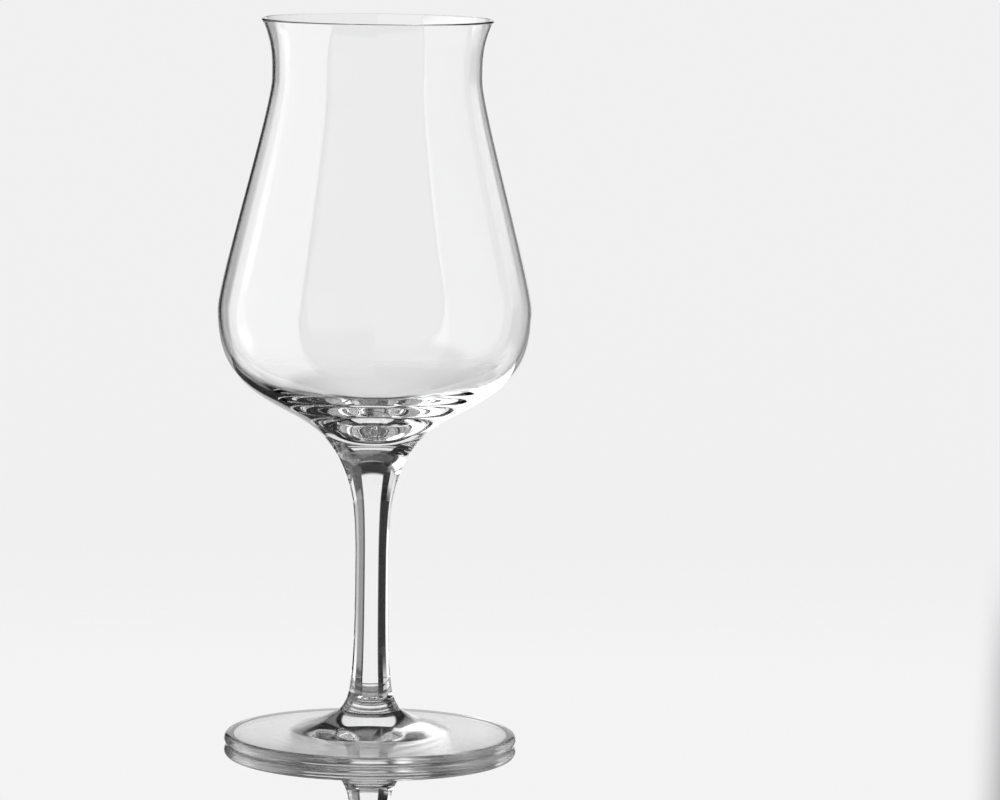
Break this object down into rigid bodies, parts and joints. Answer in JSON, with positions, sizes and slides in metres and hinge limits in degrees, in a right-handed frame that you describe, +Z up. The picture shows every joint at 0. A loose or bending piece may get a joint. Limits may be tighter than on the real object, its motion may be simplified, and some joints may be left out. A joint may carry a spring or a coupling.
{
  "type": "stemmed beer glass",
  "caption": "Tall stemmed beer glass with a round belly, a drawn-in neck, a flared lip, a slim waisted stem and a round flat foot, in clear glass.",
  "frame": {"origin": "on the table under the middle of the foot", "axes": "+Z up along the glass's axis of revolution; X and Y lie in the table, and any pair will do"},
  "size_m": [0.0818, 0.0818, 0.19],
  "materials": {
    "bowl_glass": "clear, blown and fire-polished",
    "stem_glass": "clear, drawn and fire-polished",
    "foot_glass": "clear, pressed, with faint rings from the mould"
  },
  "bodies": {
    "root": {"bowl": "bowl_glass", "stem": "stem_glass", "foot": "foot_glass"}
  },
  "joints": []
}
